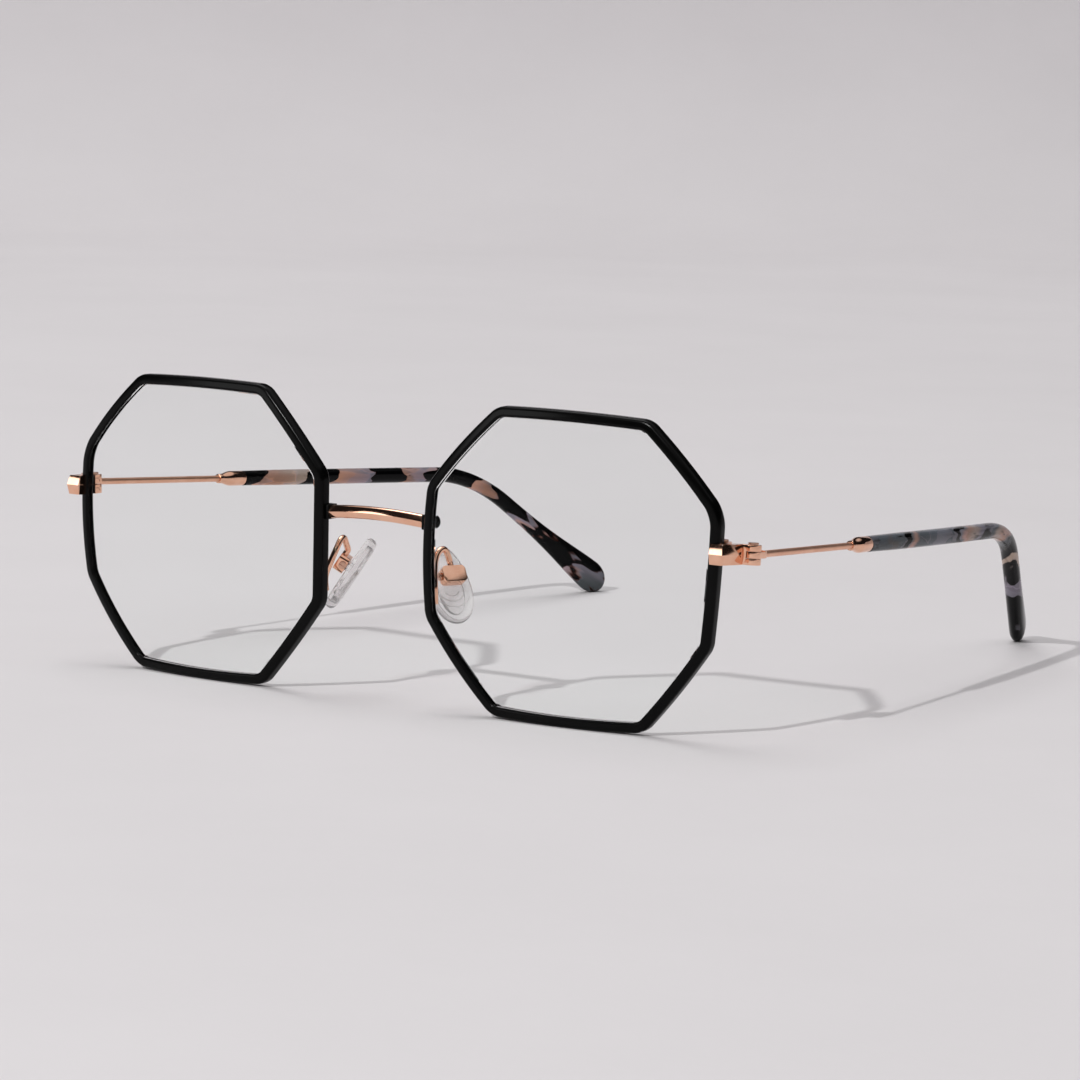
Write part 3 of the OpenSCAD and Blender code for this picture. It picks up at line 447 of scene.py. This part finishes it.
# Temple wires: straight round wire, plated rose gold, soldered to the middle knuckle. Behind the ferrule the
# wire is drawn down to the core that the tip is pushed over. Drawing leaves it satin, so it shows one soft
# highlight along its length.
drawn_gold = plated("drawn_rose_gold_plated_wire", 0.36, 0.46)
hinge_place = Matrix.Translation((68.1521, 10.8653, 4.46456)) @ Matrix.Rotation(math.radians(-4.1), 4, "X")
wire_place = hinge_place @ Matrix.Translation((0.8, 0, 0.1)) @ Matrix.Rotation(math.radians(4.7), 4, "Z")
wire_start, ferrule_start, ferrule_len = 2.18, 34.6, 6.5
tip_start = Vector((0, 41.13, 0))
wire_r, core_r, core_len, core_step = 0.56, 0.5, 84, 2
tip_len, tip_cap, bend_at, bend_r = 102, 4, 63.5, 32
bend_angle, tip_drift, tip_inward = math.radians(34), math.radians(3), math.radians(14)
bend_start = bend_at - bend_r * math.tan(bend_angle / 2)
bend_end = bend_start + bend_r * bend_angle


def tip_heading(s):
    """Direction of the tip at a distance along it: it drifts inwards, then bends down over the ear."""
    bend = min(max((s - bend_start) / (bend_end - bend_start), 0), 1)
    inward, down = tip_drift * min(s / bend_start, 1) + tip_inward * bend, bend_angle * bend
    return Vector((-math.sin(inward) * math.cos(down), math.cos(inward) * math.cos(down), -math.sin(down)))


def tip_line(places):
    """Points of the middle line of the tip at these distances along it."""
    points = [tip_start]
    for a, b in zip(places, places[1:]):
        points.append(points[-1] + (b - a) * tip_heading((a + b) / 2))
    return points


def station(point, heading, wide, high, level=(0, 0, 1)):
    """Where a ring stands: its own X runs across, its Y up and its Z along the heading."""
    across = heading.cross(Vector(level)).normalized()
    turned = Matrix((across * wide, across.cross(heading) * high, heading)).transposed().to_4x4()
    return Matrix.Translation(point) @ turned


def drawn_out(sides, places):
    """A rod drawn out of a round disc through a row of places, and closed at its far end."""
    bm = bmesh.new()
    bmesh.ops.create_circle(bm, cap_ends=True, segments=sides, radius=1)
    row = bm.edges[:]
    bmesh.ops.transform(bm, matrix=places[0], verts=bm.verts)
    for before, after in zip(places, places[1:]):
        row = pull(bm, row, after @ before.inverted())
    bmesh.ops.holes_fill(bm, edges=row, sides=0)
    return bm


for side in ("left", "right"):
    along = range(0, core_len + 1, core_step)
    places = [station(Vector((0, y, 0)), Vector((0, 1, 0)), wire_r, wire_r)
              for y in (wire_start, ferrule_start, ferrule_start + ferrule_len)]
    places += [station(p, tip_heading(s), core_r, core_r) for s, p in zip(along, tip_line(along))]
    bm = drawn_out(32, places)
    bmesh.ops.transform(bm, matrix=wire_place, verts=bm.verts)
    finished(bm, "temple_wire_with_core_" + side, drawn_gold, "rose_gold", "temple_" + side,
             "temple_wire_" + side)

# Ferrules: caps turned from brass rod, plated rose gold and pressed on the wires.
# They widen from a small collar to the root of the tip.
ferrule_r, collar_r, collar_len, bore_r, nose_r = 1.35, 0.85, 0.6, 0.59, 0.35
cone_len = 0.5 * ferrule_len - collar_len
cone_steps, nose_steps = 12, 6


def smooth(t):
    """A slow start and a slow end between 0 and 1."""
    t = min(max(t, 0), 1)
    return t * t * (3 - 2 * t)


for side in ("left", "right"):
    profile = [(bore_r, 0), (collar_r - 0.1, 0), (collar_r - 0.03, 0.03), (collar_r, 0.1),
               (collar_r, collar_len)]
    for k in range(1, cone_steps + 1):
        share = k / cone_steps
        profile.append((collar_r + (ferrule_r - collar_r) * smooth(share), collar_len + cone_len * share))
    for k in range(nose_steps + 1):
        turn = math.pi / 2 * k / nose_steps
        profile.append((ferrule_r - nose_r * (1 - math.cos(turn)),
                        ferrule_len - nose_r + nose_r * math.sin(turn)))
    profile.append((bore_r, ferrule_len))
    bm = bmesh.new()
    points = [bm.verts.new((r, ferrule_start + y, 0)) for r, y in profile]
    for a, b in zip(points, points[1:] + points[:1]):
        bm.edges.new((a, b))
    bmesh.ops.spin(bm, geom=bm.verts[:] + bm.edges[:], cent=(0, 0, 0), axis=(0, 1, 0),
                   angle=2 * math.pi, steps=48, use_merge=True)
    bmesh.ops.remove_doubles(bm, verts=bm.verts, dist=hair)
    bmesh.ops.transform(bm, matrix=wire_place, verts=bm.verts)
    finished(bm, "turned_ferrule_" + side, rose_gold, "rose_gold", "temple_" + side, "ferrule_" + side)

# Temple tips: sawn from laminated tortoiseshell acetate sheet, bored, shaped, polished and bent over the ear.
# They are slightly square in section and widen to a paddle. Their pattern was laid while they were straight.
tip_t, tip_h, paddle_w, root_len, squareness = 3.1, 2.85, 6, 12, 0.9
tip_bore, bore_len, bore_step = 0.53, core_len + 1, 1.7
tip_body, body_steps, cap_angles = tip_len - tip_cap, 62, (12, 24, 36, 47, 57, 66, 74, 81, 86)
black, coffee, peach, sand, cream = "#050506", "#4a2418", "#cf9a80", "#c9b0a0", "#dcc0ac"
slate, steel, lilac, smoke = "#353a40", "#656b73", "#948b98", "#4f5456"
umber, soot = "#5b5048", "#33302f"


def tip_section(s):
    """Half width and half height of the tip at a distance along it."""
    leg = min(max((s - bend_end) / (tip_body - bend_end), 0), 1)
    grown = smooth(s / root_len)
    wide = 2 * ferrule_r + (tip_t - 2 * ferrule_r) * grown
    high = 2 * ferrule_r + (tip_h - 2 * ferrule_r) * grown
    high += (paddle_w - high) * smooth(leg) * leg
    cap = 1 if s < tip_body else math.sqrt(max(1 - ((s - tip_body) / tip_cap) ** 2, 0))
    return wide / 2 * cap, high / 2 * cap


def acetate(name, layers, tints, chips, fringe, blur):
    """Polished tortoiseshell acetate: black with clouds and chips of clear colours, under a soft gloss.

    layers says where along the tip it is clear (1) or black (0), and tints gives the clear colours there.
    chips are the colours of the pressed chips, fringe is the brown at their edges, and blur says how soft
    the edges are. Places are in millimetres from the ferrule.
    """
    material, tree, output = new_material(name)
    straight = add(tree, "Attribute", {"attribute_name": "straight"}).outputs["Vector"]
    parts = add(tree, "SeparateXYZ", Vector=straight)
    # Clouds are about 9 mm long and 2 mm high, because the sheet is rolled while it is soft.
    rolled = add(tree, "VectorMath", {"operation": "MULTIPLY"}, _0=straight, _1=(0.3, 0.11, 0.5)).outputs[0]
    drift = add(tree, "TexNoise", Vector=rolled, Scale=1.3, Detail=0).outputs["Fac"]
    cloud = add(tree, "TexNoise", Vector=rolled, Scale=2.6, Detail=1, Roughness=0.4)
    # Chips of the pressed block are about 5 mm long and 2 mm high, with soft edges.
    warp = add(tree, "VectorMath", {"operation": "MULTIPLY"}, _0=cloud.outputs["Color"], _1=(0.5, 0.5, 0.5))
    pressed = add(tree, "VectorMath", {"operation": "MULTIPLY_ADD"}, _0=straight, _1=(0.35, 0.2, 0.5),
                  _2=warp.outputs[0])
    chip = add(tree, "TexVoronoi", {"feature": "SMOOTH_F1"}, Vector=pressed.outputs[0], Scale=1,
               Smoothness=0.25)
    chip = add(tree, "SeparateColor", Color=chip.outputs["Color"])
    # The layers lean forward and drift by up to 4 mm, as the sheets of the block do.
    lean = add(tree, "Math", {"operation": "MULTIPLY_ADD"}, _0=parts.outputs["Z"], _1=-0.9,
               _2=parts.outputs["Y"])
    shift = add(tree, "Math", {"operation": "MULTIPLY_ADD"}, _0=drift, _1=8, _2=-4)
    spot = add(tree, "Math", {"operation": "ADD"}, _0=lean.outputs[0], _1=shift.outputs[0])
    share = add(tree, "Math", {"operation": "DIVIDE"}, _0=spot.outputs[0], _1=tip_len).outputs[0]
    edges = []
    for (start, level), (end, _) in zip(layers, layers[1:] + [(tip_len, 0)]):
        tone = "#%02x%02x%02x" % (3 * (round(255 * level),))
        edges += [((start + 0.5) / tip_len, tone), ((end - 0.5) / tip_len, tone)]
    layer = add(tree, "ValToRGB", stops=edges, Fac=share)
    clear = add(tree, "SeparateColor", Color=layer.outputs["Color"]).outputs["Red"]
    mottle = add(tree, "Math", {"operation": "MULTIPLY_ADD"}, _0=chip.outputs["Green"], _1=0.55, _2=clear)
    soften = add(tree, "Math", {"operation": "MULTIPLY_ADD"}, _0=cloud.outputs["Fac"], _1=0.9, _2=-0.72)
    amount = add(tree, "Math", {"operation": "ADD"}, _0=mottle.outputs[0], _1=soften.outputs[0]).outputs[0]
    tint = add(tree, "ValToRGB", stops=[(s / tip_len, code) for s, code in tints], Fac=share)
    tint.color_ramp.interpolation = "EASE"
    other = add(tree, "ValToRGB", stops=[(0.1 + 0.2 * i, code) for i, code in enumerate(chips)],
                Fac=chip.outputs["Red"])
    tint = add(tree, "Mix", {"data_type": "RGBA"}, _0=0.4, _6=tint.outputs["Color"],
               _7=other.outputs["Color"])
    # Painted sheen: the upper side is mixed towards a steel grey, standing in for the pale ceiling mirrored
    # on the top.
    high = add(tree, "MapRange", Value=parts.outputs["Z"], From_Min=0, From_Max=1.5, To_Max=0.5)
    tint = add(tree, "Mix", {"data_type": "RGBA"}, _0=high.outputs[0], _6=tint.outputs[2], _7=linear(steel))
    dark = add(tree, "ValToRGB", stops=[(0, black), (0.36, black), (0.5, fringe)], Fac=amount)
    show = add(tree, "MapRange", {"interpolation_type": "SMOOTHSTEP"}, Value=amount,
               From_Min=0.5 - blur, From_Max=0.5 + blur)
    colour = add(tree, "Mix", {"data_type": "RGBA"}, _0=show.outputs[0], _6=dark.outputs["Color"],
                 _7=tint.outputs[2])
    dull = add(tree, "MapRange", Value=cloud.outputs["Fac"], To_Min=0.06, To_Max=0.14)
    body = add(tree, "BsdfPrincipled", Base_Color=colour.outputs[2], Roughness=dull.outputs[0], IOR=1.49,
               Specular_IOR_Level=0.08)
    tree.links.new(body.outputs["BSDF"], output.inputs["Surface"])
    return material


# The right tip was cut where the sheet is dark and strongly banded, the left one where it is smoky and soft.
tortoise = {
    "right": acetate("polished_dark_tortoiseshell_acetate",
                     [(0, 0), (5, 1), (16, 0), (25, 1), (34, 0), (43, 0.9), (50, 0), (63, 1), (68, 0.35),
                      (77, 0.9), (80, 0.45), (93, 0.1), (95, 0.8)],
                     [(0, slate), (6, peach), (15, cream), (25, peach), (33, lilac), (43, peach),
                      (49, lilac), (64, peach), (69, slate), (78, lilac), (82, peach), (88, steel),
                      (95, lilac), (100, smoke)],
                     [smoke, steel, lilac, peach, slate], coffee, 0.1),
    "left": acetate("polished_smoky_tortoiseshell_acetate",
                    [(0, 0.9), (12, 0.35), (14, 0.95), (35, 0.3), (37, 0.95), (48, 0.7), (51, 0.95),
                     (62, 0.5), (72, 0.8), (75, 0.05), (80, 0.9), (86, 0.08)],
                    [(0, smoke), (6, smoke), (8, umber), (10, smoke), (14, smoke), (16, peach), (18, smoke),
                     (27, steel), (34, smoke), (37, steel), (40, peach), (44, sand), (47, lilac), (50, slate),
                     (53, steel), (56, sand), (60, peach), (63, steel), (68, smoke), (73, cream), (80, lilac),
                     (84, lilac), (92, slate)],
                    [smoke, steel, slate, lilac, smoke], soot, 0.2),
}

for side in ("left", "right"):
    bored = [bore_len - bore_step * i for i in range(round(bore_len / bore_step))] + [0]
    shaped = [tip_body * i / body_steps for i in range(body_steps + 1)]
    shaped += [tip_body + tip_cap * math.sin(math.radians(angle)) for angle in cap_angles]
    inside = [station(p, tip_heading(s), tip_bore, tip_bore)
              for s, p in zip(bored[::-1], tip_line(bored[::-1]))]
    outside = [station(p, tip_heading(s), *tip_section(s)) for s, p in zip(shaped, tip_line(shaped))]
    places = inside[::-1] + outside
    lengths = bored + shaped
    bm = bmesh.new()
    straight = bm.verts.layers.float_vector.new("straight")
    bmesh.ops.create_circle(bm, cap_ends=True, segments=36, radius=1)
    for v in bm.verts:
        v.co.x = math.copysign(abs(v.co.x) ** squareness, v.co.x)
        v.co.y = math.copysign(abs(v.co.y) ** squareness, v.co.y)
    row = bm.edges[:]
    bmesh.ops.transform(bm, matrix=places[0], verts=bm.verts)
    for i in range(1, len(places)):
        row = pull(bm, row, places[i] @ places[i - 1].inverted())
        wide, high = tip_section(lengths[i]) if i >= len(bored) else (tip_bore, tip_bore)
        for v in {v for e in row for v in e.verts}:
            local = places[i].inverted() @ v.co
            v[straight] = (local.x * wide, lengths[i], local.y * high)
    bmesh.ops.holes_fill(bm, edges=row, sides=0)
    bmesh.ops.transform(bm, matrix=wire_place, verts=bm.verts)
    finished(bm, "acetate_tip_" + side, tortoise[side], "acetate", "temple_" + side, "temple_tip_" + side)

# Pad arms: thin rose gold plated wire, soldered behind the eyewire with a flattened foot.
# Each loops up and back, and comes down to the pad box.
pad_place = (Matrix.Translation((10.0891, 9.71755, -6)) @ Matrix.Rotation(math.radians(-28), 4, "Z")
             @ Matrix.Rotation(math.radians(-33), 4, "Y"))
arm_r, solder = 0.52, 0.03
arm_seat = Vector((0, arm_r + solder, 0))
arm_foot, arm_leave = on_base(-26.6, rim_d, -8.3) + arm_seat, on_base(-26.6, rim_d, -5.8) + arm_seat
box_top, drop_height = Vector((2.73, -0.2, 2.28)), 0.8
arm_drop, arm_end = pad_place @ (box_top + Vector((0, 0, drop_height))), pad_place @ box_top
loop = ((0.12, 0.5, 1.9), (0.3, 0.85, 3.4), (0.52, 0.7, 3.9), (0.74, 0.35, 3.2), (0.9, 0.1, 1.5))
arm_route = [arm_foot, arm_leave]
arm_route += [arm_leave.lerp(arm_drop, share) + Vector((-lean, 0, rise)) for share, lean, rise in loop]
arm_route += [arm_drop, arm_end]


def smooth_line(points, steps):
    """Points of a smooth curve through these points."""
    line = []
    ends = [points[0]] + points + [points[-1]]
    for a, b, c, d in zip(ends, ends[1:], ends[2:], ends[3:]):
        for k in range(steps):
            t = k / steps
            line.append(0.5 * (2 * b + (c - a) * t + (2 * a - 5 * b + 4 * c - d) * t ** 2
                               + (3 * b - a - 3 * c + d) * t ** 3))
    return line + [points[-1]]


for side in ("left", "right"):
    line = smooth_line(arm_route, 8)
    headings = [(b - a).normalized() for a, b in zip(line[:1] + line, line[1:] + line[-1:])]
    headings[-1] = (arm_end - arm_drop).normalized()
    bm = drawn_out(24, [station(p, d, arm_r, arm_r, (1, 0, 0)) for p, d in zip(line, headings)])
    finished(bm, "looped_pad_arm_" + side, rose_gold, "rose_gold", "front", "pad_arm_" + side, sharp=50)

# Pad boxes: small pressed cups, rose gold plated, soldered to the ends of the pad arms.
# The boss of the pad sits in each with its screw through it.
for side in ("left", "right"):
    finished(tumbled("pad_box_" + side, 0.3), "pressed_pad_box_" + side, rose_gold, "rose_gold", "front",
             "pad_box_" + side)

# Pad inserts: hard clear polycarbonate plates with a boss for the screw, and three arched ribs to hold the
# silicone. They show inside the soft pads as an oval and a few arcs.
rib_middle, rib_r, rib_reaches = Vector((0.36, 0, -0.6)), 0.12, (1.5, 2.5, 3.5)
rib_start, rib_sweep, rib_steps = math.radians(-35), math.radians(110), 20

# Moulded clear polycarbonate: water-clear with faint flow marks. Its IOR is set down from 1.58, because the
# silicone round it leaves only thin grey lines where the two meet.
clear_insert, tree, output = new_material("moulded_clear_polycarbonate")
place = add(tree, "TexCoord").outputs["Object"]
flow = add(tree, "TexNoise", Vector=place, Scale=260, Detail=2)
dull = add(tree, "MapRange", Value=flow.outputs["Fac"], To_Min=0.02, To_Max=0.08)
tone = add(tree, "ValToRGB", stops=[(0.3, "#faf8f8"), (0.7, "#fdfcfc")], Fac=flow.outputs["Fac"])
body = add(tree, "BsdfPrincipled", Roughness=dull.outputs["Result"], IOR=1.32, Transmission_Weight=0.92,
           Base_Color=tone.outputs["Color"])
see_through(tree, output, body, "#f1f0f0")
for side in ("left", "right"):
    bm = tumbled("pad_insert_" + side, 0.1)
    bmesh.ops.transform(bm, matrix=pad_place.inverted(), verts=bm.verts)
    for reach in rib_reaches:
        rib_place = Matrix.Translation(rib_middle + Vector((0, reach, 0)))
        rib = bmesh.ops.create_circle(bm, segments=10, radius=rib_r, matrix=rib_place)["verts"]
        edges = list({e for v in rib for e in v.link_edges})
        bmesh.ops.rotate(bm, cent=rib_middle, matrix=Matrix.Rotation(rib_start, 3, "X"), verts=rib)
        bmesh.ops.spin(bm, geom=rib + edges, cent=rib_middle, axis=(-1, 0, 0), angle=rib_sweep,
                       steps=rib_steps, use_merge=False)
    bmesh.ops.holes_fill(bm, edges=[e for e in bm.edges if e.is_boundary], sides=0)
    bmesh.ops.transform(bm, matrix=pad_place, verts=bm.verts)
    finished(bm, "ribbed_pad_insert_" + side, clear_insert, "clear_insert", "pad_" + side,
             "pad_insert_" + side)

# Nose pads: clear silicone moulded over the inserts, egg-shaped and a little crowned, so light runs round the
# edge. They rock on their screws.
pad_len, pad_w, pad_t, pad_taper = 14, 7.6, 2.1, 0.16

# Moulded clear silicone: clear with a breath of milk, and soft highlights. Its IOR is set down from 1.41,
# since the real pads show bright edges against a pale room.
silicone, tree, output = new_material("moulded_clear_silicone")
place = add(tree, "TexCoord").outputs["Object"]
milk = add(tree, "TexNoise", Vector=place, Scale=180, Detail=3)
dull = add(tree, "MapRange", Value=milk.outputs["Fac"], To_Min=0.03, To_Max=0.12)
tone = add(tree, "ValToRGB", stops=[(0.3, "#fbf9f9"), (0.7, "#fefdfd")], Fac=milk.outputs["Fac"])
body = add(tree, "BsdfPrincipled", Roughness=dull.outputs["Result"], IOR=1.2, Transmission_Weight=0.82,
           Base_Color=tone.outputs["Color"])
see_through(tree, output, body, "#f8f7f7")

# From the back of the pad to its front: how far back, and how far the outline is drawn in there.
crown = smooth_line([Vector(spot) for spot in (
    (-1.04, 0.9), (-1.02, 0.62), (-0.94, 0.32), (-0.74, 0.14), (-0.4, 0.04), (0, 0), (0.5, 0.015),
    (0.84, 0.07), (1, 0.2), (1.02, 0.5), (1.02, 0.8))], 3)
for side in ("left", "right"):
    places = []
    for back, inset in crown:
        wide, high = pad_w / 2 * (1 - inset), pad_len / 2 - pad_w / 2 * inset
        places.append(station(Vector((back * pad_t / 2, 0, 0)), Vector((1, 0, 0)), wide, high))
    bm = drawn_out(56, places)
    for v in bm.verts:
        v.co.y *= 1 - pad_taper * v.co.z / (pad_len / 2)
    bmesh.ops.transform(bm, matrix=pad_place, verts=bm.verts)
    finished(bm, "soft_nose_pad_" + side, silicone, "clear_silicone", "pad_" + side, "nose_pad_" + side,
             sharp=60)
